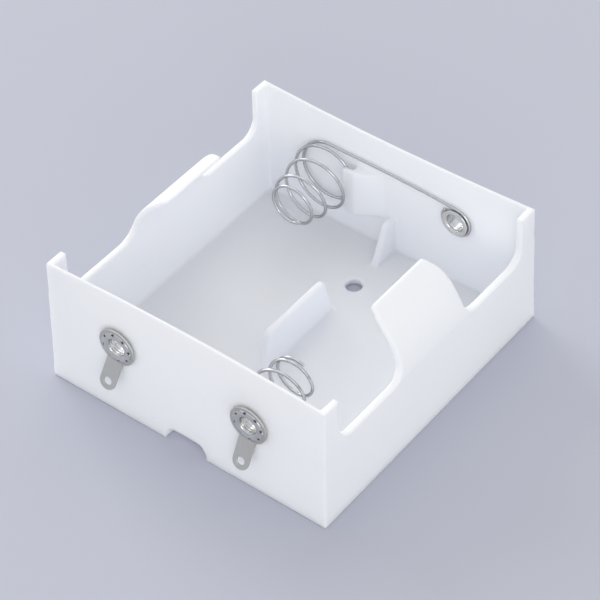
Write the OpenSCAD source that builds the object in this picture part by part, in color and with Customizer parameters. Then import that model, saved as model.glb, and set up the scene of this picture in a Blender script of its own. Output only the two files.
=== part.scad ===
// Open tray that holds two cylindrical cells side by side, in series.
// X runs along the front wall, Y from the front wall to the back wall, Z up.
// The origin is on the resting plane, midway between the two screw holes.

/* [Cells] */
// Diameter of one cell
cell_d = 33.2; // [31.6:0.2:34.4]
// Length of one cell, over its button
cell_len = 61.5; // [58:0.5:65]
// Gap between the two cells
cell_gap = 0.8; // [0.4:0.1:2]
// Clearance between a cell and the side wall
side_clear = 0.4; // [0.2:0.1:0.8]
// Length left in a bay for the contacts when a cell is in
contact_room = 7.7; // [7:0.1:10]
// How far the two plus eyelets lie above the cells' axes
plus_rise = 1; // [0:0.1:1.4]
// How far the minus eyelet lies below the cells' axes
minus_drop = 0.3; // [0:0.1:1]

/* [Tray] */
// Thickness of the floor
floor_t = 1.8; // [1.4:0.1:3]
// Thickness of a side wall at its foot
side_wall_t = 2; // [1.8:0.1:2.6]
// Thickness of an end wall at its foot
end_wall_t = 2.5; // [2.2:0.1:3]
// Height of the end walls and the corners
end_wall_h = 31.9; // [30:0.1:34]
// Height of the side walls between the corners and the cheeks
side_wall_h = 20.4; // [19:0.1:23]
// How far a side wall's outer face leans in at the top
side_draft = 0.5; // [0.2:0.1:0.7]
// How far an end wall's outer face leans in at the top
end_draft = 1.2; // [0.4:0.1:1.4]
// Length of the full-height corner along a side wall
corner_run = 6; // [4.5:0.1:7]
// Radius between a corner and the side wall's top
corner_fillet = 3.6; // [2:0.1:5]

/* [Cheeks] */
// Angle that a cheek wraps round the cell, above the level of its axis
cheek_wrap = 58; // [45:1:65]
// Half length of a cheek at the side wall's top
cheek_foot = 10.6; // [10:0.1:12]
// Half length of a cheek at its tip
cheek_tip = 10.3; // [8:0.1:10.4]
// Thickness of a cheek at its tip
cheek_tip_t = 1; // [0.8:0.1:1.6]
// Radius of the corners at a cheek's tip
cheek_round = 4.4; // [1:0.1:4.8]
// Radius between a cheek and the side wall's top
cheek_fillet = 4; // [2:0.1:5]
// How far the cheeks' middle lies behind the tray's middle
cheek_back = 0.5; // [0:0.1:1]

/* [Ribs and holes] */
// Thickness of the ribs on the centre line
rib_t = 1.6; // [1.2:0.1:2]
// Height of the middle rib's top edge
rib_h = 11.8; // [9:0.1:14]
// Half length of the middle rib at its top
rib_top = 9.9; // [8:0.1:10.5]
// Half length of the middle rib at the floor
rib_foot = 11.9; // [11:0.1:13]
// Radius of the upper corners of the ribs
rib_round = 1.6; // [0.5:0.1:2]
// Length of an end gusset along the floor
gusset_foot = 7.1; // [6:0.1:10]
// Length of an end gusset at its top
gusset_top = 3.5; // [3:0.1:5]
// Height of an end gusset's top edge
gusset_h = 11.2; // [9:0.1:15]
// Diameter of the screw holes
screw_d = 3.8; // [3.2:0.1:4.5]
// Distance between the screw holes
screw_pitch = 41; // [36:0.5:44]
// Width of the notch in the front wall's foot
notch_w = 10.7; // [8:0.1:14]
// Height of that notch
notch_h = 3.7; // [3:0.1:5]
// Radius of that notch's upper corners
notch_round = 3; // [1:0.1:3]

/* [Spring keeper] */
// Distance from the coil's axis to the keeper's free edge
keeper_edge = 5.9; // [5.2:0.1:6.5]
// Height of the keeper along the wall
keeper_h = 12; // [8:0.1:13]
// Thickness of the keeper's lip
keeper_lip = 1.1; // [0.8:0.1:1.6]
// Length over which the keeper slopes back to the wall
keeper_slope = 6; // [4:0.1:6.4]

/* [Eyelets] */
// Bore of an eyelet
eyelet_bore = 4.1; // [3.4:0.1:4.3]
// Thickness of an eyelet's metal
eyelet_t = 0.4; // [0.3:0.05:0.5]
// Diameter of a contact flange
flange_d = 7.8; // [7.6:0.1:9]
// Diameter over the clinched petals
star_d = 7.7; // [7:0.1:8.4]
// Height of the clinched petals
star_h = 0.7; // [0.5:0.05:0.9]
// Number of petals
petals = 8; // [6:1:10]
// Width of the gap between two petals' tips
petal_gap = 1; // [0.6:0.1:1.4]
// Angle that the petals are turned about their eyelet
petal_turn = 9; // [0:1:20]
// Radius of an eyelet's mouth
mouth_round = 0.6; // [0.3:0.1:1]
// Clearance between an eyelet's tube and what it passes through
tube_clear = 0.1; // [0.05:0.05:0.2]

/* [Solder tags] */
// Diameter of a tag's head
tag_head_d = 9; // [8.5:0.1:10]
// Thickness of a tag
tag_t = 0.4; // [0.3:0.05:0.6]
// Width of a tag's strip
tag_w = 4; // [3.4:0.1:5.4]
// Distance from the eyelet's axis to the wire hole
tag_reach = 9.7; // [8.5:0.1:12]
// Diameter of the wire hole
tag_hole_d = 1.9; // [1.2:0.1:2.2]
// Angle that the left tag is turned about its eyelet
left_tag_turn = 10; // [-15:0.5:15]
// Angle that the right tag is turned about its eyelet
right_tag_turn = 5; // [-15:0.5:15]
// Angle that a tag's strip is bent away from the wall
tag_bend = 20; // [0:1:30]

/* [Springs] */
// Diameter of the spring wire
wire_d = 0.65; // [0.5:0.05:0.8]
// Clearance round the wire at the wall
wire_clear = 0.05; // [0.05:0.05:0.2]
// Slack of a wire loop round its eyelet's tube
loop_slack = 0.6; // [0.3:0.1:0.9]
// Number of turns of a coil
turns = 4.6; // [3.6:0.1:5]
// Length of the free back coil, between its end turns' centres
back_coil_len = 13.8; // [11:0.1:15]
// Length of the free front coil
front_coil_len = 12.9; // [11:0.1:15]
// Share by which a coil's pitch falls off towards its ends
pitch_fall = 0.8; // [0.5:0.05:0.8]
// Radius of the free end turn
tip_r = 4.4; // [4:0.1:5]
// Radius that the back coil tapers down from
back_base_r = 8.7; // [8:0.1:9]
// How far the back coil's first turn pulls in from that taper
back_tuck = 2.1; // [1.8:0.1:2.4]
// Share of a turn by which the pull-in starts ahead of the coil
back_lead = 0.2; // [0.1:0.05:0.3]
// Radius that the front coil tapers down from
front_base_r = 6.5; // [6.2:0.1:7.6]
// How far the back coil's axis lies below the cell's
back_coil_drop = 2.6; // [1.5:0.1:3.5]
// How far the front coil's axis lies above the cell's
front_coil_rise = 1; // [0:0.1:1.5]
// Angle that a wire loop spans round its eyelet
loop_span = 300; // [280:15:330]
// Angle round the back eyelet at which the link wire leaves its loop
link_angle = 80; // [75:1:85]
// Angle that the flat run from the front loop out to the front coil spans
front_run = 240; // [225:5:255]
// Angle at which the front coil leaves the wall
front_start = 277; // [270:1:285]

/* [Hidden] */
$fn = 64;
// overlap that lets a cut or a joined solid pass a face
cut = 1;
join = 0.5;

cell_x = (cell_d + cell_gap) / 2;
cell_z = floor_t + cell_d / 2;
plus_z = cell_z + plus_rise;
minus_z = cell_z - minus_drop;
bay_x = cell_x + cell_d / 2 + side_clear;
bay_y = (cell_len + contact_room) / 2;
tray_x = bay_x + side_wall_t;
tray_y = bay_y + end_wall_t;
// outer faces of the walls at height z
function side_face(z) = tray_x - side_draft * z / end_wall_h;
function end_face(z) = tray_y - end_draft * z / end_wall_h;
// where a flat disc of diameter d, centred at height z, touches the leaning end wall
function end_seat(z, d) = end_face(z - d / 2);
corner_y = tray_y - corner_run;

// a cheek's faces are two circles: the inner one about the cell's axis, the outer one shifted outwards, so
// that the cheek leaves the side wall's face just above its top and thins towards its tip
cheek_in = bay_x - cell_x;
shoulder = norm([side_face(side_wall_h + join) - cell_x, side_wall_h + join - cell_z]);
cheek_shift = (shoulder - cheek_in - cheek_tip_t) / (1 - cos(cheek_wrap));
cheek_out = shoulder - cheek_shift;
cheek_end = cheek_shift * cos(cheek_wrap) + sqrt(pow(cheek_out, 2) - pow(cheek_shift * sin(cheek_wrap), 2));

wire_r = wire_d / 2;
tube_r = eyelet_bore / 2 + eyelet_t;
bore_r = tube_r + tube_clear;
loop_r = tube_r + loop_slack + wire_r;
// room that the wire takes between a wall and the flange over it
wire_room = wire_d + 2 * wire_clear;
back_coil_z = cell_z - back_coil_drop;
front_coil_z = cell_z + front_coil_rise;

// ---- outlines -------------------------------------------------------------

function arc(x, y, r, from, to, steps = 12) =
    [for (i = [0:steps]) let (a = from + (to - from) * i / steps) [x + r * cos(a), y + r * sin(a)]];

// rectangle on the ground line whose upper corners are round
module arch(width, height, radius) {
    translate([-width / 2, -cut]) square([width, height + cut - radius]);
    translate([-width / 2 + radius, 0]) square([width - 2 * radius, height]);
    for (side = [-1, 1])
        translate([side * (width / 2 - radius), height - radius]) circle(radius);
}

// extrudes a YZ outline along X, centred on X = 0
module across(width) {
    rotate([90, 0, 90]) translate([0, 0, -width / 2]) linear_extrude(width) children();
}

// extrudes an XZ outline along Y, centred on Y = 0
module along(depth) {
    rotate([90, 0, 0]) translate([0, 0, -depth / 2]) linear_extrude(depth) children();
}

// turns an outline or solid drawn for +Z so that it looks out along -Y at the given place
module facing_front(x, y, z) {
    translate([x, y, z]) rotate([90, 0, 0]) children();
}

// the same for +Y
module facing_back(x, y, z) {
    translate([x, y, z]) rotate([-90, 0, 0]) children();
}

// ---- tray -----------------------------------------------------------------

// block whose four sides lean in towards the top
module drafted_block() {
    intersection() {
        along(2 * tray_y)
            polygon([[-tray_x, 0], [tray_x, 0], [side_face(end_wall_h), end_wall_h],
                [-side_face(end_wall_h), end_wall_h]]);
        across(2 * tray_x)
            polygon([[-tray_y, 0], [tray_y, 0], [end_face(end_wall_h), end_wall_h],
                [-end_face(end_wall_h), end_wall_h]]);
    }
}

// opening above the side walls, between the corners
module side_window() {
    top = end_wall_h + cut;
    r = corner_fillet;
    across(2 * (tray_x + cut)) {
        translate([-corner_y, side_wall_h + r]) square([2 * corner_y, top - side_wall_h - r]);
        translate([r - corner_y, side_wall_h]) square([2 * (corner_y - r), top - side_wall_h]);
        for (side = [-1, 1])
            translate([side * (corner_y - r), side_wall_h + r]) circle(r);
    }
}

module shell() {
    difference() {
        drafted_block();
        translate([-bay_x, -bay_y, floor_t]) cube([2 * bay_x, 2 * bay_y, end_wall_h]);
        side_window();
    }
}

// side view of a cheek: hollow fillets at its foot, round corners at its tip
module cheek_side_view() {
    top = cell_z + cheek_end * sin(cheek_wrap) + cheek_tip_t / 2;
    foot = side_wall_h;
    f = cheek_fillet;
    r = cheek_round;
    half = concat([[cheek_foot + f, cell_z], [cheek_foot + f, foot]],
        arc(cheek_foot + f, foot + f, f, -90, -180), arc(cheek_tip - r, top - r, r, 0, 90));
    polygon(concat(half, [for (i = [len(half) - 1:-1:0]) [-half[i][0], half[i][1]]]));
}

// section of a cheek, drawn from the cell's axis
module cheek_section(side) {
    middle = (cheek_in + cheek_end) / 2;
    reach = 2 * shoulder;
    function face(z) = side * (side_face(cell_z + z) - cell_x);
    intersection() {
        difference() {
            translate([side * cheek_shift, 0]) circle(cheek_out, $fn = 128);
            circle(cheek_in, $fn = 128);
        }
        polygon([[0, 0], [side * reach, 0], [side * reach, reach * tan(cheek_wrap / 2)],
            [side * reach * cos(cheek_wrap), reach * sin(cheek_wrap)]]);
        polygon([[0, -cut], [face(-cut), -cut], [face(reach), reach], [0, reach]]);
    }
    translate([side * middle * cos(cheek_wrap), middle * sin(cheek_wrap)])
        circle((cheek_end - cheek_in) / 2, $fn = 24);
}

// curved wall that reaches over the cell and holds it down
module cheek(side) {
    translate([0, cheek_back, 0]) intersection() {
        translate([side * cell_x, 0, cell_z]) along(4 * cheek_foot) cheek_section(side);
        across(2 * tray_x) cheek_side_view();
    }
}

// low rib that parts the two bays
module middle_rib() {
    r = rib_round;
    half = concat([[rib_foot, floor_t - join], [rib_foot, floor_t]], arc(rib_top - r, rib_h - r, r, 0, 90));
    across(rib_t) polygon(concat(half, [for (i = [len(half) - 1:-1:0]) [-half[i][0], half[i][1]]]));
}

// rib between the floor and an end wall; end is -1 at the front and 1 at the back
module gusset(end) {
    r = rib_round;
    across(rib_t) polygon(concat([[end * (bay_y + join), floor_t - join],
        [end * (bay_y - gusset_foot), floor_t - join], [end * (bay_y - gusset_foot), floor_t]],
        [for (p = arc(bay_y - gusset_top + r, gusset_h - r, r, 180, 90)) [end * p[0], p[1]]],
        [[end * (bay_y + join), gusset_h]]));
}

// lip on the back wall that the back coil's first turn slips under
module spring_keeper() {
    edge = keeper_edge - cell_x;
    pocket_end = back_base_r - back_tuck / 2 + wire_r + wire_clear - cell_x;
    foot_end = pocket_end + keeper_lip + keeper_slope;
    pocket_y = bay_y - wire_room - coil_rise(1 / turns, back_coil_len);
    face_y = pocket_y - keeper_lip;
    translate([0, 0, back_coil_z - keeper_h / 2]) linear_extrude(keeper_h)
        polygon([[edge, pocket_y], [edge, face_y], [pocket_end + keeper_lip, face_y], [foot_end, bay_y],
            [foot_end, bay_y + join], [pocket_end, bay_y + join], [pocket_end, pocket_y]]);
}

module tray() {
    color("whitesmoke") difference() {
        union() {
            shell();
            for (side = [-1, 1])
                cheek(side);
            middle_rib();
            for (end = [-1, 1])
                gusset(end);
            spring_keeper();
        }
        for (end = [-1, 1])
            translate([0, end * screw_pitch / 2, -cut]) cylinder(d = screw_d, h = floor_t + 2 * cut);
        translate([0, -tray_y, 0]) along(2 * end_wall_t) arch(notch_w, notch_h, notch_round);
        facing_front(-cell_x, -bay_y + cut, plus_z) cylinder(r = bore_r, h = end_wall_t + 2 * cut);
        facing_front(cell_x, -bay_y + cut, minus_z) cylinder(r = bore_r, h = end_wall_t + 2 * cut);
        facing_back(cell_x, bay_y - cut, plus_z) cylinder(r = bore_r, h = end_wall_t + 2 * cut);
    }
}

// ---- eyelets and tags --------------------------------------------------------

// eyelet along +Z: a flange of the given diameter with its seat at z = 0, a tube, and an end that is
// rolled down onto the height span in petals
module eyelet(disc_d, span) {
    bore = eyelet_bore / 2;
    edge = eyelet_t / 2;
    mouth = min(mouth_round, disc_d / 2 - edge - bore);
    roll_w = (star_d / 2 - bore) / 2;
    crest = bore + roll_w;
    function roll(w, h, from, to) = [for (i = [0:12]) let (a = from + (to - from) * i / 12)
        [crest + w * cos(a), span + h * sin(a)]];
    color("silver") difference() {
        rotate_extrude($fn = 64)
            polygon(concat([[tube_r, 0]], arc(disc_d / 2 - edge, -edge, edge, 90, -90, 6),
                arc(bore + mouth, mouth - eyelet_t, mouth, -90, -180, 6), roll(roll_w, star_h, 180, 0),
                roll(roll_w - eyelet_t, star_h - eyelet_t, 0, 180)));
        for (i = [0:petals - 1])
            rotate([0, 0, petal_turn + i * 360 / petals]) translate([crest, 0, span - cut])
                linear_extrude(star_h + 2 * cut)
                    polygon([[0, 0], [2 * roll_w, petal_gap], [2 * roll_w, -petal_gap]]);
    }
}

module back_eyelet() {
    seat = bay_y - wire_room;
    facing_back(cell_x, seat, plus_z) eyelet(flange_d, end_seat(plus_z, star_d) - seat);
}

module front_left_eyelet() {
    facing_front(-cell_x, -bay_y, plus_z) eyelet(flange_d, end_seat(plus_z, tag_head_d) + tag_t - bay_y);
}

module front_right_eyelet() {
    seat = bay_y - wire_room;
    facing_front(cell_x, -seat, minus_z) eyelet(flange_d, end_seat(minus_z, tag_head_d) + tag_t - seat);
}

// solder tag with its back on the plane z = 0 and its strip along -Y, bent up about its neck
module solder_tag(turn) {
    neck = tag_head_d / 2 - tag_t;
    color("silver") rotate([0, 0, -turn]) difference() {
        union() {
            cylinder(d = tag_head_d, h = tag_t);
            translate([0, -neck, 0]) rotate([-tag_bend, 0, 0]) {
                translate([-tag_w / 2, neck - tag_reach, 0]) cube([tag_w, tag_reach - neck, tag_t]);
                translate([0, neck - tag_reach, 0]) cylinder(d = tag_w, h = tag_t);
            }
        }
        translate([0, 0, -cut]) cylinder(r = bore_r, h = tag_t + 2 * cut);
        translate([0, -neck, 0]) rotate([-tag_bend, 0, 0])
            translate([0, neck - tag_reach, -cut]) cylinder(d = tag_hole_d, h = tag_t + 2 * cut);
    }
}

module front_left_tag() {
    facing_front(-cell_x, -end_seat(plus_z, tag_head_d), plus_z) solder_tag(left_tag_turn);
}

module front_right_tag() {
    facing_front(cell_x, -end_seat(minus_z, tag_head_d), minus_z) solder_tag(right_tag_turn);
}

// ---- springs ------------------------------------------------------------------

steps_per_turn = 26;
wire_sides = 8;
// steps of a loop in degrees, and how many the link and the flat run take
loop_step = 15;
link_steps = 12;
run_steps = 16;

// how far along a coil of length len a share s of its turns lies: the pitch falls off at both ends
function coil_rise(s, len) = len * (s - pitch_fall * sin(360 * s) / 2 / PI);

// radius of a coil after a share s of its turns: an even taper, less a pull-in over the first turn
function coil_r(s, base_r, tuck = 0) = base_r + (tip_r - base_r) * s
    - (turns * s < 1 ? tuck * pow(sin(180 * (turns * s + back_lead) / (1 + back_lead)), 2) : 0);

// points of a coil about a Y axis at x, z: it leaves the wall at wall_y, angle start, and runs towards end
function coil(x, z, wall_y, end, start, len, base_r, tuck = 0) =
    [for (i = [0:ceil(turns * steps_per_turn)])
        let (s = i / ceil(turns * steps_per_turn), a = start - end * 360 * turns * s,
            r = coil_r(s, base_r, tuck))
        [x + r * cos(a), wall_y + end * coil_rise(s, len), z + r * sin(a)]];

// solid wire along a path that never runs along Y
module wire(path) {
    last = len(path) - 1;
    function dir(i) = let (d = path[min(i + 1, last)] - path[max(i - 1, 0)]) d / norm(d);
    function ring(i) = let (t = dir(i), c = cross([0, 1, 0], t), u = c / norm(c), v = cross(t, u))
        [for (k = [0:wire_sides - 1])
            let (a = 360 * k / wire_sides) path[i] + wire_r * (u * cos(a) + v * sin(a))];
    points = [for (i = [0:last]) each ring(i)];
    function p(i, k) = i * wire_sides + k % wire_sides;
    faces = concat([[for (k = [0:wire_sides - 1]) p(0, k)]],
        [for (i = [0:last - 1], k = [0:wire_sides - 1]) each
            [[p(i, k), p(i + 1, k), p(i + 1, k + 1)], [p(i, k), p(i + 1, k + 1), p(i, k + 1)]]],
        [[for (k = [wire_sides - 1:-1:0]) p(last, k)]]);
    polyhedron(points, faces, convexity = 10);
}

// one wire: a loop round the back eyelet, a link along the wall, and the coil
module back_spring() {
    y = bay_y - wire_clear - wire_r;
    loop = [for (a = [link_angle - loop_span:loop_step:link_angle])
        [cell_x + loop_r * cos(a), y, plus_z + loop_r * sin(a)]];
    from = [cell_x + loop_r * cos(link_angle), plus_z + loop_r * sin(link_angle)];
    to = [-cell_x, back_coil_z + coil_r(0, back_base_r, back_tuck)];
    link = [for (i = [1:link_steps - 1]) let (s = i / link_steps)
        [from.x + (to.x - from.x) * s, y, from.y + (to.y - from.y) * (1 - pow(1 - s, 3))]];
    coil = coil(-cell_x, back_coil_z, y, -1, 90, back_coil_len, back_base_r, back_tuck);
    color("gainsboro") wire(concat(loop, link, coil));
}

// one wire: a loop round the front right eyelet, a flat run out to the base turn, and the coil
module front_spring() {
    y = wire_clear + wire_r - bay_y;
    leave = front_start + front_run;
    loop = [for (a = [leave + loop_span:-loop_step:leave])
        [cell_x + loop_r * cos(a), y, minus_z + loop_r * sin(a)]];
    spiral = [for (i = [1:run_steps - 1])
        let (s = i / run_steps, r = loop_r + (front_base_r - loop_r) * s, a = leave - front_run * s)
        [cell_x + r * cos(a), y, minus_z + (front_coil_z - minus_z) * s + r * sin(a)]];
    coil = coil(cell_x, front_coil_z, y, 1, front_start, front_coil_len, front_base_r);
    color("gainsboro") wire(concat(loop, spiral, coil));
}

tray();
back_spring();
front_spring();
back_eyelet();
front_left_eyelet();
front_right_eyelet();
front_left_tag();
front_right_tag();
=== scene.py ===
# %% [markdown]
# # Dressing an open tray for two cylindrical cells
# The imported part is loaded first. It gives the place of every piece, and nothing here moves it: each cell
# below lays a finer piece over one solid, or gives a solid its finish. The frame is in metres, and the
# sizes below are written in millimetres, as a maker would read them off a drawing.

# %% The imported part
import math
import bmesh
import bpy
import numpy as np
from mathutils import Matrix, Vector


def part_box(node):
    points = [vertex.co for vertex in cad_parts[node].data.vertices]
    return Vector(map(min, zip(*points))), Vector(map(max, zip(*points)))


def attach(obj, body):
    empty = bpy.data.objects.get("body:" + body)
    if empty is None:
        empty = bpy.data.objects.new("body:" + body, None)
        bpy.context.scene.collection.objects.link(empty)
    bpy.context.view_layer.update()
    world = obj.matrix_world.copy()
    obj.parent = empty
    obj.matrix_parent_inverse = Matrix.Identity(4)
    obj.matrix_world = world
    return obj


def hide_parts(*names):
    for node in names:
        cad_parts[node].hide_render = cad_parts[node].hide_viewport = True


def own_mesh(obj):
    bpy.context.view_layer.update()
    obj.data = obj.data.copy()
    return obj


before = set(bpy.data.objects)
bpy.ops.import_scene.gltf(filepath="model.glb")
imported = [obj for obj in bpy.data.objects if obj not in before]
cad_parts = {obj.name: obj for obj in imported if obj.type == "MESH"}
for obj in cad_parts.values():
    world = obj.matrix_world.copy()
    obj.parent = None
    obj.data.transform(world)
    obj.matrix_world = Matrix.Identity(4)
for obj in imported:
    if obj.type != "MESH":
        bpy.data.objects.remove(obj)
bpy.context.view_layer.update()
bpy.context.scene.view_settings.view_transform = "Standard"
mm = 0.001
print("solids:", ", ".join(sorted(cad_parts)))

# %% Putting a thing in its place
def linked(name, data):
    """A new object for the data, linked into the scene."""
    made = bpy.data.objects.new(name, data)
    bpy.context.scene.collection.objects.link(made)
    return made


def stand(thing, at, axes):
    """Puts a thing at a place, with its own three axes along the three given ones."""
    place = Matrix.Identity(4)
    for column, axis in enumerate(axes):
        for row in range(3):
            place[row][column] = axis[row]
    place.translation = at
    thing.matrix_world = place


# %% [markdown]
# The camera looks over the front right corner, and stands about as high above the floor as it is away along
# it. Its lens is long, so that the walls stay almost parallel. Its three axes are measured, and one matrix
# holds them.

# %% Camera
right = (0.79207, 0.60994, -0.02445)
up = (-0.41541, 0.56794, 0.71055)
back = (0.44728, -0.55265, 0.70322)
camera = linked("camera", bpy.data.cameras.new("camera"))
camera.data.sensor_width = 36
camera.data.lens = 150.8
stand(camera, (0.23611, -0.28999, 0.38333), (right, up, back))
camera.data.clip_start, camera.data.clip_end = 0.01, 10
bpy.context.scene.camera = camera
print("camera stands", round(camera.matrix_world.translation.length / mm), "mm from the tray")

# %% [markdown]
# ## Surfaces as arrays
# A piece is a grid of points, worked out at once with numpy. Each row of the grid joins the next one with
# quads, and the grid may close on itself in either direction, as a tube or a ring does. The same grid gives
# a UV map, so that a finish can follow the wire or the ring.

# %% From a grid of points to a piece
def piece_from_grid(name, points, wrap_rows=False, wrap_columns=False, caps=False):
    """Joins points[i, j] to points[i + 1, j + 1] and its neighbours; caps closes the two end rows."""
    rows, columns = points.shape[:2]
    row_starts = np.arange(rows - (not wrap_rows))
    column_starts = np.arange(columns - (not wrap_columns))
    i, j = np.meshgrid(row_starts, column_starts, indexing="ij")
    next_i, next_j = (i + 1) % rows, (j + 1) % columns
    corners = [(i, j), (next_i, j), (next_i, next_j), (i, next_j)]
    faces = np.stack([a * columns + b for a, b in corners], -1).reshape(-1, 4).tolist()
    if caps:
        faces += [list(range(columns)), [(rows - 1) * columns + k for k in reversed(range(columns))]]
    mesh = bpy.data.meshes.new(name)
    mesh.from_pydata(points.reshape(-1, 3).tolist(), [], faces)
    uv = np.zeros((len(mesh.loops), 2), np.float32)
    along = np.stack([i, i + 1, i + 1, i], -1).reshape(-1) / max(rows - 1, 1)
    around = np.stack([j, j, j + 1, j + 1], -1).reshape(-1) / columns
    uv[:len(along)] = np.stack([along, around], -1)
    mesh.uv_layers.new(name="grid").data.foreach_set("uv", uv.ravel())
    mesh.shade_smooth()
    mesh.validate()
    shape = bmesh.new()
    shape.from_mesh(mesh)
    bmesh.ops.recalc_face_normals(shape, faces=shape.faces)
    shape.to_mesh(mesh)
    shape.free()
    print(name, len(mesh.vertices), "points")
    return linked(name, mesh)


# %% [markdown]
# ## Shader maths as sums
# A finish is easier to read as sums than as a net of nodes. A Signal wraps one socket, and adding or
# multiplying signals adds the Math nodes. Any other node comes from the one method `node`.

# %% Signals
class Signal:
    """One socket of a node tree, or only the tree where a sum starts."""

    def __init__(self, tree, socket=None):
        self.tree, self.socket = tree, socket

    def node(self, kind, settings, inputs, output=0):
        made = self.tree.nodes.new(kind)
        for name, value in settings.items():
            if name == "stops":
                ramp = made.color_ramp.elements
                ramp[0].position, ramp[1].position = value[0][0], value[-1][0]
                for where, _ in value[1:-1]:
                    ramp.new(where)
                for stop, (_, shade) in zip(ramp, value):
                    stop.color = (shade, shade, shade, 1)
            else:
                setattr(made, name, value)
        for name, value in inputs.items():
            if isinstance(value, Signal):
                self.tree.links.new(value.socket, made.inputs[name])
            else:
                made.inputs[name].default_value = value
        return Signal(self.tree, made.outputs[output])

    def sum_of(self, operation, first, second):
        return self.node("ShaderNodeMath", {"operation": operation}, {0: first, 1: second})

    def __add__(self, other):
        return self.sum_of("ADD", self, other)

    __radd__ = __add__

    def __mul__(self, other):
        return self.sum_of("MULTIPLY", self, other)

    __rmul__ = __mul__


# %% Parts that every finish shares
def new_finish(name):
    """An empty material and the signal that starts its sums."""
    material = bpy.data.materials.new(name)
    material.use_nodes = True
    material.node_tree.nodes.clear()
    return material, Signal(material.node_tree)


def finish_with(start, **sockets):
    """Ends a finish in one Principled shader, whose sockets are given by name with _ for a space."""
    inputs = {name.replace("_", " "): value for name, value in sockets.items()}
    shader = start.node("ShaderNodeBsdfPrincipled", {}, inputs)
    ending = start.tree.nodes.new("ShaderNodeOutputMaterial")
    start.tree.links.new(shader.socket, ending.inputs["Surface"])


def object_place(start):
    return start.node("ShaderNodeTexCoord", {}, {}, "Object")


def noise(start, place, scale, detail=2.0, roughness=0.5):
    """Cloudy noise from 0 to 1; scale is in features per metre."""
    return start.node("ShaderNodeTexNoise", {}, {"Vector": place, "Scale": scale, "Detail": detail,
                                                 "Roughness": roughness}, "Fac")


def steps(start, value, stops):
    """A ramp of greys; each stop is a place and a shade."""
    return start.node("ShaderNodeValToRGB", {"stops": stops}, {"Fac": value}, "Color")


def blend_colours(start, factor, first, second):
    """Mixes two colours, each a triple or a signal, from the first at 0 to the second at 1."""
    first, second = (hue if isinstance(hue, Signal) else (*hue, 1) for hue in (first, second))
    return start.node("ShaderNodeMix", {"data_type": "RGBA"}, {0: factor, 6: first, 7: second}, 2)


def bump(start, height, distance, strength=1.0):
    return start.node("ShaderNodeBump", {}, {"Height": height, "Distance": distance, "Strength": strength})


# %% [markdown]
# ## The moulding
# The tray is one shot of natural white polypropylene: soft, satin and a little milky, so light goes a short
# way into it and its edges glow. Mould steel leaves a fine even texture, the flow of the melt leaves faint
# clouds, and a few specks of grit sit in the plastic. Subsurface scattering gives the milkiness, and noise
# at three scales gives the rest.

# %% Natural white plastic
plastic, start = new_finish("natural_white_plastic")
spot = object_place(start)
clouds = noise(start, spot, 55, 3)
grain = noise(start, spot, 2600, 2)
waves = noise(start, spot, 160, 1)
grit_cells = start.node("ShaderNodeTexVoronoi", {"feature": "F1"},
                        {"Vector": spot, "Scale": 95.0}, "Distance")
grit = steps(start, grit_cells, [(0.012, 1), (0.02, 0)])
shade = blend_colours(start, clouds, (0.888, 0.908, 0.975), (0.912, 0.929, 0.985))
speckled = blend_colours(start, grit * 0.35, shade, (0.42, 0.40, 0.38))
finish_with(start, Base_Color=speckled, Roughness=0.34 + clouds * 0.12, IOR=1.49, Specular_IOR_Level=0.42,
            Subsurface_Weight=0.8, Subsurface_Radius=(1.0, 1.0, 1.0), Subsurface_Scale=2.6 * mm,
            Normal=bump(start, grain * 0.15 + waves * 0.5, 0.05 * mm, 0.35))
print("plastic has", len(plastic.node_tree.nodes), "nodes")

# %% [markdown]
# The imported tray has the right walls, cheeks and ribs, but knife-sharp edges. A moulding has none: every
# corner is rounded so that the plastic fills it and the part lets go of the steel. A Bevel modifier could
# round them, but the cheeks run into the side walls at a very flat angle, and a bevel tears there. So a
# merged copy gets a new skin of small even faces instead, and smoothing the skin wears down every edge and
# fills every corner by the same small radius. The two end walls then bow inwards a little at the top, as
# long thin walls do when they cool.

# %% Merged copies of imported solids
same_point, same_plane = 0.06 * mm, math.radians(1.2)


def merged_copy(node, name):
    """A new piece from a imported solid, with its points merged and its flat faces joined."""
    shape = bmesh.new()
    shape.from_mesh(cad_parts[node].data)
    bmesh.ops.remove_doubles(shape, verts=shape.verts, dist=same_point)
    bmesh.ops.dissolve_degenerate(shape, edges=shape.edges, dist=same_point)
    bmesh.ops.dissolve_limit(shape, angle_limit=same_plane, verts=shape.verts, edges=shape.edges)
    mesh = bpy.data.meshes.new(name)
    shape.to_mesh(mesh)
    shape.free()
    mesh.shade_smooth()
    return linked(name, mesh)


def round_edges(piece, width, segments, angle):
    """Bevels every edge that turns by more than the angle, and weights the normals by face area."""
    edge = piece.modifiers.new("rounded edges", "BEVEL")
    edge.width, edge.segments = width, segments
    edge.limit_method, edge.angle_limit = "ANGLE", math.radians(angle)
    edge.use_clamp_overlap = False
    edge.miter_outer = "MITER_ARC"
    piece.modifiers.new("even shading", "WEIGHTED_NORMAL").keep_sharp = False


# %% Tray with a soft skin
skin_size, smooth_steps, faces_kept = 0.27, 8, 0.235
tray = merged_copy("tray", "moulded_tray")
grow = tray.modifiers.new("skin", "REMESH")
grow.mode, grow.voxel_size = "VOXEL", skin_size * mm
soft = tray.modifiers.new("soft edges", "SMOOTH")
soft.factor, soft.iterations = 0.5, smooth_steps
thin = tray.modifiers.new("fewer faces", "DECIMATE")
thin.ratio = faces_kept
baked = bpy.data.meshes.new_from_object(tray.evaluated_get(bpy.context.evaluated_depsgraph_get()))
tray.modifiers.clear()
tray.data = mesh = baked
mesh.shade_smooth()
print("tray skin", len(mesh.polygons), "faces")

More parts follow.
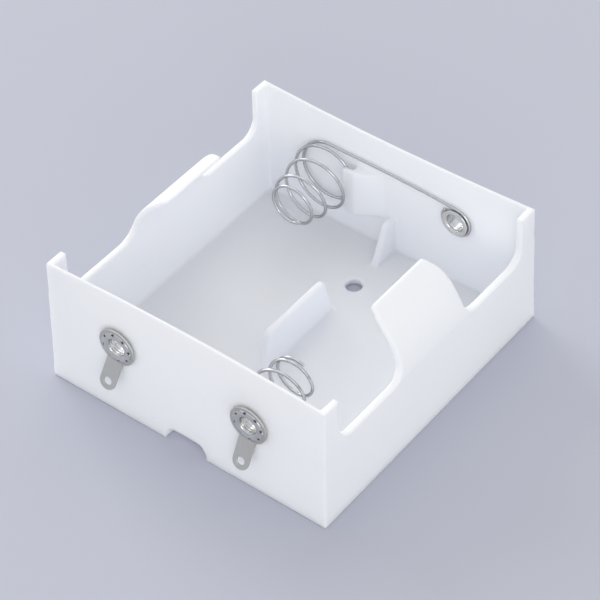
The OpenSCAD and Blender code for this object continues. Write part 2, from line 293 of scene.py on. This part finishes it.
# %% Bowed end walls
wall_top, foot_y, end_draft = 31.9, 37.1, 1.2
wall_from, wall_over = 34, 0.6
bow_depth, thinning, thin_from, thin_over = 0.95, 0.42, 23, 8
half_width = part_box("tray")[1].x


def end_face(z):
    """Outer face of an end wall: it leans in by the draft, evenly from foot to top."""
    return foot_y - end_draft * z / wall_top


spots = np.zeros(len(mesh.vertices) * 3, np.float32)
mesh.vertices.foreach_get("co", spots)
spots = spots.reshape(-1, 3)
height = spots[:, 2] / mm
on_end_wall = np.clip((np.abs(spots[:, 1]) / mm - wall_from) / wall_over, 0, 1)
bow = bow_depth * mm * (height / wall_top).clip(0, 1) ** 3 * (1 - (spots[:, 0] / half_width) ** 2)
inward = (end_face(height) * mm - np.abs(spots[:, 1])).clip(0, None)
thinned = inward * thinning * np.clip((height - thin_from) / thin_over, 0, 1)
spots[:, 1] -= np.sign(spots[:, 1]) * (bow - thinned) * on_end_wall
mesh.vertices.foreach_set("co", spots.ravel())
mesh.update()
tray.data.materials.append(plastic)
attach(tray, "tray")
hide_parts("tray")
print("tray from", (spots.min(0) / mm).round(1), "to", (spots.max(0) / mm).round(1))

# %% [markdown]
# ## Bright metals
# Three metals meet on the walls. The spring wire is drawn, so its polish runs in fine lines along it. The
# eyelets are pressed from plated brass and polished by the tool, with faint rings. The tags are tinned
# sheet: grey, satin, faintly mottled. All three are full metals whose grain feeds roughness and bump. Drawn
# wire and tin darken where they turn away from the eye, which is what the specular tint is for.

# %% Drawn wire, pressed eyelets and tinned tags
wire_finish, start = new_finish("plated_spring_wire")
lines = start.node("ShaderNodeMapping", {}, {
    "Vector": start.node("ShaderNodeTexCoord", {}, {}, "UV"), "Scale": (60.0, 14.0, 1.0)})
drawn = noise(start, lines, 3, 4)
polished = blend_colours(start, drawn, (0.54, 0.54, 0.55), (0.72, 0.72, 0.72))
finish_with(start, Base_Color=polished, Metallic=1.0, Roughness=0.12 + drawn * 0.12,
            Specular_Tint=(0.04, 0.04, 0.045, 1), Normal=bump(start, drawn, 0.01 * mm, 0.25))

eyelet_finish, start = new_finish("plated_eyelet")
spot = object_place(start)
smears = noise(start, spot, 900, 3)
# Painted shade: where the attribute nears 1, in the middle of each notch between two petals, the plating is
# painted near black and made rougher, standing in for the shadow inside the notch.
crevice = start.node("ShaderNodeAttribute", {"attribute_name": "crevice"}, {}, "Fac")
plated = blend_colours(start, smears, (0.60, 0.60, 0.575), (0.78, 0.78, 0.755))
plated_with_painted_shade = blend_colours(start, crevice, plated, (0.012, 0.012, 0.012))
finish_with(start, Base_Color=plated_with_painted_shade, Metallic=1.0, Roughness=0.14 + smears * 0.14 + crevice * 0.5,
            Normal=bump(start, smears, 0.02 * mm, 0.3))

tag_finish, start = new_finish("tinned_tag")
spot = object_place(start)
mottle = noise(start, spot, 420, 4, 0.6)
sheet_grain = noise(start, spot, 5200, 2)
tinned = blend_colours(start, mottle, (0.64, 0.64, 0.60), (0.74, 0.735, 0.69))
finish_with(start, Base_Color=tinned, Metallic=1.0, Roughness=0.36 + mottle * 0.14,
            Specular_Tint=(0.3, 0.3, 0.3, 1), Normal=bump(start, sheet_grain * 0.5 + mottle, 0.02 * mm, 0.3))
print("three metals")

# %% [markdown]
# ## Springs
# Each spring is one wire. It starts in a loop under an eyelet, runs flat along the wall, and climbs into a
# coil that narrows towards its free end. The path is worked out as arrays, in the same law as the packed
# solid, with more steps. The pitch falls off at both ends of a coil, where the turns lie close.

# %% Sizes of the springs, and the law of a coil
cell_x, cell_z = 17.0, 18.4
plus_z, minus_z = cell_z + 1.0, cell_z - 0.3
bay_y, wire_r, wire_clear, blunt_tip = 34.6, 0.325, 0.05, 0.06
turns, pitch_fall, tip_r, lead = 4.6, 0.8, 4.4, 0.2
loop_r = 3.5
wall_wire_y = bay_y - wire_clear - wire_r


def coil_path(x, z, wall_y, end, start_angle, length, base_r, tuck=0):
    """Radius base + (tip - base) s, less a sine-squared tuck over the first turn; the angle falls or rises
    evenly; height length (s - fall sin(2 pi s) / 2 pi), which makes the pitch smallest at both ends. end is
    1 where the coil climbs towards +Y and -1 where it climbs towards -Y."""
    s = np.linspace(0, 1, 420)
    turn = turns * s
    pull = np.where(turn < 1, tuck * np.sin(np.pi * (turn + lead) / (1 + lead)) ** 2, 0)
    r = base_r + (tip_r - base_r) * s - pull
    a = np.radians(start_angle) - end * 2 * np.pi * turn
    y = wall_y + end * length * (s - pitch_fall * np.sin(2 * np.pi * s) / 2 / np.pi)
    return np.stack([x + r * np.cos(a), y, z + r * np.sin(a)], -1)


def loop_path(z, wall_y, first, last):
    """A circle of the loop's radius about the eyelet's axis, from the first angle to the last."""
    a = np.radians(np.linspace(first, last, 60))
    return np.stack([cell_x + loop_r * np.cos(a), np.full(a.shape, wall_y), z + loop_r * np.sin(a)], -1)


# %% Round wire along a path
def even_steps(path, count):
    """The same path with its points at even distances, so that the wire's sides stay even."""
    reach = np.concatenate([[0], np.cumsum(np.linalg.norm(np.diff(path, axis=0), axis=1))])
    even = np.linspace(0, reach[-1], count)
    return np.stack([np.interp(even, reach, path[:, k]) for k in range(3)], -1), reach[-1]


def softened(path):
    """Each point becomes the mean of itself and three neighbours on each side, which rounds any corner."""
    padded = np.pad(path, ((3, 3), (0, 0)), "reflect", reflect_type="odd")
    return sum(padded[k:k + len(path)] for k in range(7)) / 7


def wire_along(name, path, count, sides=20):
    """A circle of the wire's radius at each step, square to the path, with its ends rounded over."""
    path, length = even_steps(path, count)
    path = softened(path)
    heading = np.gradient(path, axis=0)
    heading /= np.linalg.norm(heading, axis=1, keepdims=True)
    side = np.cross([0, 1, 0], heading)
    side /= np.linalg.norm(side, axis=1, keepdims=True)
    lift = np.cross(heading, side)
    a = np.linspace(0, 2 * np.pi, sides, endpoint=False)
    step = length / (count - 1)
    depth = np.minimum(np.arange(count), np.arange(count)[::-1]) * step
    swell = np.sqrt(1 - (1 - np.minimum((depth + blunt_tip) / wire_r, 1)) ** 2)
    ring = side[:, None] * np.cos(a)[None, :, None] + lift[:, None] * np.sin(a)[None, :, None]
    points = path[:, None] + wire_r * swell[:, None, None] * ring
    return piece_from_grid(name, points * mm, wrap_columns=True, caps=True)


# %% [markdown]
# The back spring's wire leaves its loop at the top, crosses the wall in one long shallow bow, and turns down
# into the coil of the left bay. The bow is a cubic: steep at the loop, flat where it meets the coil.

# %% Back spring
link_angle, loop_span, back_start = 80, 300, 90
back_coil_z, back_coil_len, back_base_r, back_tuck = cell_z - 2.6, 13.8, 8.7, 2.1
loop = loop_path(plus_z, wall_wire_y, link_angle - loop_span, link_angle)
coil = coil_path(-cell_x, back_coil_z, wall_wire_y, -1, back_start, back_coil_len, back_base_r, back_tuck)
between = np.linspace(0, 1, 80)[1:-1]
link = np.stack([loop[-1, 0] + (coil[0, 0] - loop[-1, 0]) * between, np.full(between.shape, wall_wire_y),
                 loop[-1, 2] + (coil[0, 2] - loop[-1, 2]) * (1 - (1 - between) ** 3)], -1)
back_spring = wire_along("back_coil_spring", np.concatenate([loop, link, coil]), 1300)

# %% [markdown]
# The front spring has no link: its wire spirals straight out of the loop, flat on the wall, and rises into
# the coil of the right bay. A cell pushes each coil flat towards its wall; here each wire is only attached
# to the tray and moves with it.

# %% Front spring, and both springs on the tray
front_start, front_run = 277, 240
front_coil_z, front_coil_len, front_base_r = cell_z + 1.0, 12.9, 6.5
leave = front_start + front_run
loop = loop_path(minus_z, -wall_wire_y, leave + loop_span, leave)
r = loop_r + (front_base_r - loop_r) * between
a = np.radians(leave - front_run * between)
run = np.stack([cell_x + r * np.cos(a), np.full(between.shape, -wall_wire_y),
                minus_z + (front_coil_z - minus_z) * between + r * np.sin(a)], -1)
coil = coil_path(cell_x, front_coil_z, -wall_wire_y, 1, front_start, front_coil_len, front_base_r)
front_spring = wire_along("front_coil_spring", np.concatenate([loop, run, coil]), 1100)
for spring, node, wall_y, length in ((back_spring, "back_spring", wall_wire_y, back_coil_len),
                                     (front_spring, "front_spring", -wall_wire_y, front_coil_len)):
    spring.data.materials.append(wire_finish)
    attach(spring, "tray")
    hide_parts(node)
    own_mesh(spring)

# %% [markdown]
# ## Eyelets
# An eyelet is a flanged tube. The tool rolls its free end outwards and down onto the tag, and the metal
# splits into eight petals. Its section is a closed profile, turned about the axis. In the rolled part the
# height falls away between two petals and opens a notch. An attribute marks the deepest part of each
# notch, and there the finish is painted near black: painted shade, for the shadow that falls into it.

# %% Sizes of an eyelet, and an arc of its section
bore, metal, lip_r, star_r, star_h, roll_from = 2.05, 0.4, 0.6, 3.85, 0.3, 0.2
ripple, ripples_per_mm = 0.07, 5.2
petals, petal_turn, split_r, split_width, hole_width = 8, 9, 3.4, 0.30, 0.42


def quarter(x, y, rx, ry, first, last, count=12):
    """An arc of an ellipse about (x, y), between two angles in degrees."""
    a = np.radians(np.linspace(first, last, count))
    return np.stack([x + rx * np.cos(a), y + ry * np.sin(a)], -1)


# %% Eyelet as a turned profile
def eyelet(name, x, seat, z, span, facing, flange_r):
    """Turns (radius, height) about the axis. Over the roll, height is cut by a narrow bell at each split and
    radius is drawn in, so the petals stand apart. facing is 1 where the rolled end looks along +Y."""
    tube = bore + metal
    crest = (bore + star_r) / 2 + 0.15
    wide = star_r - crest
    depth = np.linspace(0.5, span - 0.25, 12)
    outline = np.concatenate([
        [[tube, 0.0]], quarter(flange_r - metal / 2, -metal / 2, metal / 2, metal / 2, 90, -90),
        quarter(bore + lip_r, lip_r - metal, lip_r, lip_r, -90, -180),
        np.stack([bore + ripple * np.sin(depth * ripples_per_mm) ** 2, depth], -1),
        quarter(crest, span - roll_from, crest - bore, star_h + roll_from, 180, 90, 16),
        quarter(crest, span, wide, star_h, 88, 0, 30),
        quarter(crest, span, wide - metal, star_h * 0.3, 0, 180, 10),
        [[tube, span - roll_from]]])
    turn = np.linspace(0, 2 * np.pi, 288, endpoint=False)
    phase = (turn - math.radians(petal_turn)) * petals / (2 * np.pi)
    off = np.abs(phase - np.round(phase)) * 2 * np.pi / petals
    r, h = outline[:, 0][None], outline[:, 1][None]
    rolled = (r > crest) & (h > span - 0.05)
    aside, outwards = off[:, None] * split_r, r - split_r
    split = np.exp(-(aside / split_width) ** 4) * np.clip((outwards + 0.5) / 0.3, 0, 1) * rolled
    hole = np.exp(-(aside / hole_width) ** 2 - (outwards / hole_width) ** 2) * rolled
    h = h - (split * 0.75 + hole * 0.2).clip(0, 1) * (h - span)
    r = r - split * outwards * 0.5
    points = np.stack([x + r * np.cos(turn)[:, None], seat + facing * h,
                       z - facing * r * np.sin(turn)[:, None]], -1)
    made = piece_from_grid(name, points * mm, wrap_rows=True, wrap_columns=True)
    # Mask of the painted shade: near 1 in the middle of each notch, where shadow falls between the petals.
    depth_of_shade = np.clip(hole * 3.2 - 1.1, 0, 1).astype(np.float32)
    made.data.attributes.new("crevice", "FLOAT", "POINT").data.foreach_set("value", depth_of_shade.ravel())
    made.data.materials.append(eyelet_finish)
    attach(made, "tray")
    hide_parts(name.replace("pressed_", ""))


# %% The three eyelets
wired_flange_r, plain_flange_r, wire_room, tag_reach = 3.25, 3.9, 0.75, 4.5
tag_seat_left, tag_seat_right = end_face(plus_z - tag_reach) + metal, end_face(minus_z - tag_reach) + metal
behind_wire = bay_y - wire_room
eyelet("pressed_front_left_eyelet", -cell_x, -bay_y, plus_z, tag_seat_left - bay_y, -1, plain_flange_r)
eyelet("pressed_front_right_eyelet", cell_x, -behind_wire, minus_z, tag_seat_right - behind_wire, -1,
       wired_flange_r)
eyelet("pressed_back_eyelet", cell_x, behind_wire, plus_z, end_face(plus_z - star_r) - behind_wire, 1,
       wired_flange_r)

# %% [markdown]
# ## Solder tags
# The tags are blanked from tinned sheet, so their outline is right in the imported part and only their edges
# are too sharp. The punch rolls one edge over a little: a bevel of a few hundredths catches the light there.

# %% Tags with a rolled edge
for node in ("front_left_tag", "front_right_tag"):
    tag = merged_copy(node, "blanked_" + node)
    round_edges(tag, 0.07 * mm, 2, 40)
    tag.data.materials.append(tag_finish)
    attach(tag, "tray")
    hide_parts(node)

# %% [markdown]
# ## The table and the light
# The tray stands on a pale blue-grey sheet under a wide overcast light, as white ware is shown. White walls
# would lose their shape in even light, so two lamps behind it and to its left lay a faint shadow towards the
# viewer, and a low one in front lifts the outer walls. The sky that metal mirrors has a darker band low
# down, so that bright wire shows its roundness; it is a reflection only, and lights nothing.

# %% Sheet
sheet_finish, start = new_finish("blue_grey_sheet")
finish_with(start, Base_Color=(0.53, 0.545, 0.622, 1), Roughness=0.9, Specular_IOR_Level=0.1)
sheet_half, sheet_drop = 1.5, 0.02 * mm
a = np.linspace(-1, 1, 3) * sheet_half
grid = np.stack([*np.meshgrid(a, a, indexing="ij"), np.full((3, 3), -sheet_drop)], -1)
sheet = piece_from_grid("table_sheet", grid)
sheet.data.materials.append(sheet_finish)

# %% Light
world = bpy.data.worlds.new("overcast")
bpy.context.scene.world = world
world.use_nodes = True
world.node_tree.nodes.clear()
start = Signal(world.node_tree)
seen = start.node("ShaderNodeLightPath", {}, {}, "Is Camera Ray")
for kind in ("Is Glossy Ray", "Is Transmission Ray"):
    seen = seen.sum_of("MAXIMUM", seen, start.node("ShaderNodeLightPath", {}, {}, kind))
direction = start.node("ShaderNodeTexCoord", {}, {}, "Generated")
height = start.node("ShaderNodeSeparateXYZ", {}, {"Vector": direction}, "Z")
bands = steps(start, height, [(0.0, 0.644), (0.08, 0.644), (0.15, 0.35), (0.24, 0.35), (0.38, 1)])
studio = blend_colours(start, bands, (0, 0, 0), (0.87, 0.90, 1.0))
shown = start.node("ShaderNodeBackground", {}, {"Color": studio, "Strength": 1.0})
given = start.node("ShaderNodeBackground", {}, {"Color": (1, 1, 1, 1), "Strength": 0.77})
mixed = start.node("ShaderNodeMixShader", {}, {0: seen, 1: given, 2: shown})
ending = start.tree.nodes.new("ShaderNodeOutputWorld")
start.tree.links.new(mixed.socket, ending.inputs["Surface"])
lamp_size = 0.8


def lamp(name, at, power):
    """A square lamp that looks at the tray."""
    made = linked(name, bpy.data.lights.new(name, "AREA"))
    made.data.size, made.data.energy = lamp_size, power
    away = np.array(at) / np.linalg.norm(at)
    side = np.cross([0, 1, 0.3], away)
    side /= np.linalg.norm(side)
    stand(made, at, (side, np.cross(away, side), away))


lamp("back_lamp", (-0.45, 0.75, 1.1), 1.8)
lamp("left_lamp", (-1.2, 0.3, 0.5), 7.5)
lamp("front_lamp", (0.85, -0.9, 0.35), 4.0)
print("three lamps and an overcast sky")
